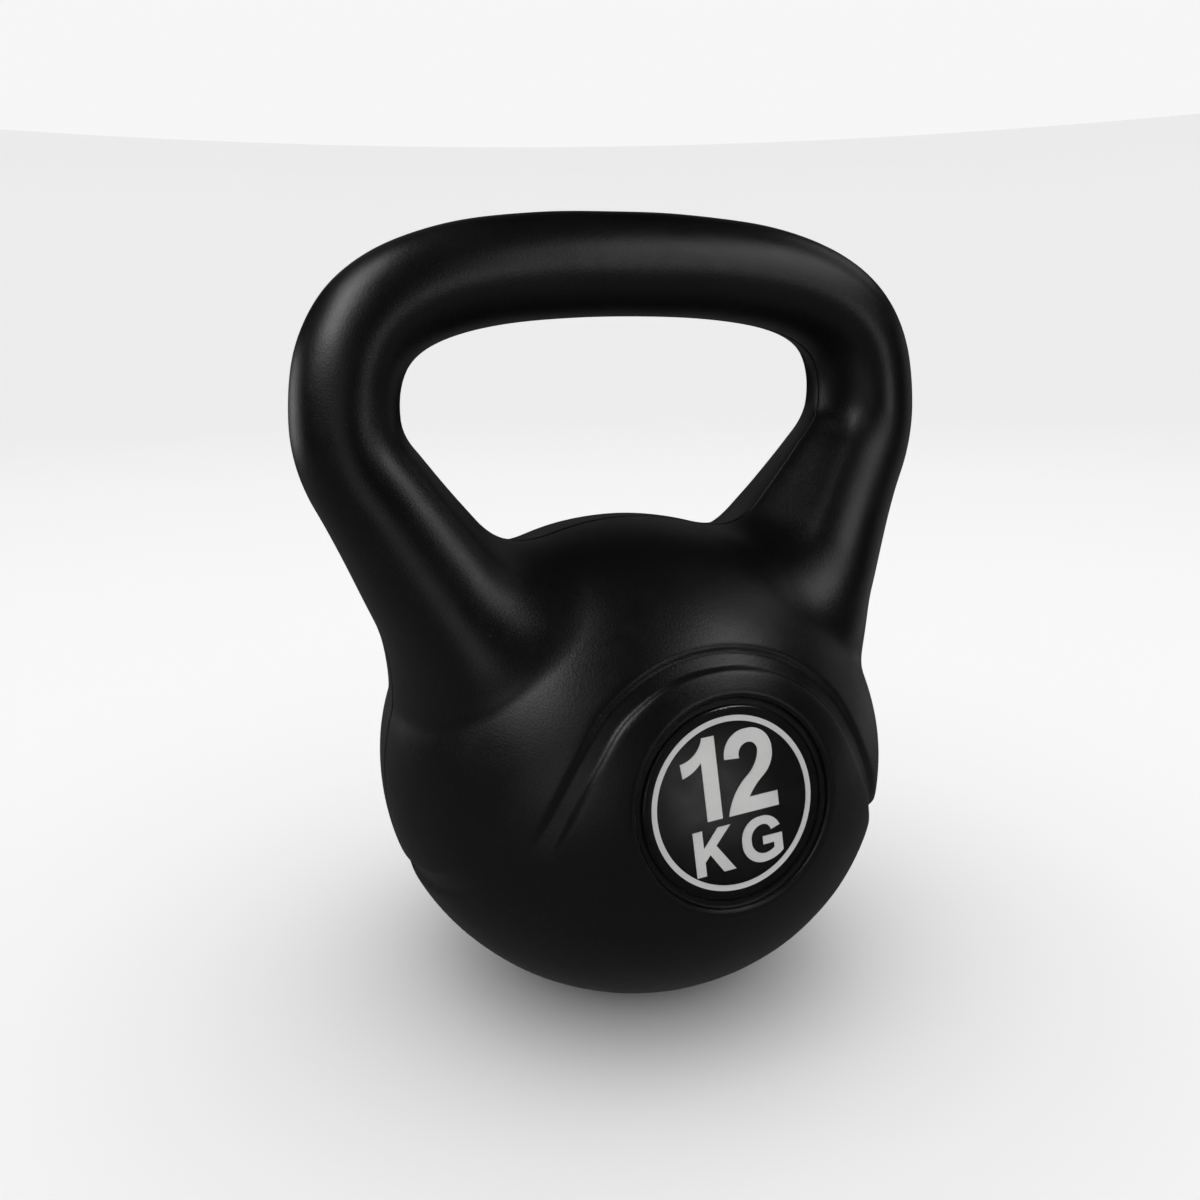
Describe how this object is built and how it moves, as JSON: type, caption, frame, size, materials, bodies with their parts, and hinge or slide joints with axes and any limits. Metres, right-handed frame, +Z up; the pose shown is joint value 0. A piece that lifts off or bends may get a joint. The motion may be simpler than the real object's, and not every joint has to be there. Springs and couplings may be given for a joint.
{
  "type": "kettlebell",
  "caption": "Cement-filled kettlebell with a satin black moulded plastic skin, a wide flared handle, a flat base and a round inset weight label on the front and back.",
  "frame": {"origin": "centre of the flat base, on the surface that the kettlebell stands on", "axes": "+Z up through the middle of the handle, -Y out of the front label, +X along the grip to the viewer's right when the front label faces the viewer"},
  "size_m": [0.2472, 0.1998, 0.2926],
  "materials": {
    "skin": "satin with a fine leather grain",
    "cement": "cast cement, rough",
    "steel": "plain hot-rolled bar",
    "plug": "matt moulded",
    "label_film": "printed black",
    "label_print": "printed off-white",
    "label_dome": "clear poured gel, glossy"
  },
  "bodies": {
    "root": {"shell": "skin", "concrete_fill": "cement", "handle_bar": "steel", "fill_plug": "plug", "front_label_film": "label_film", "front_label_print": "label_print", "front_label_dome": "label_dome", "rear_label_film": "label_film", "rear_label_print": "label_print", "rear_label_dome": "label_dome"}
  },
  "joints": []
}
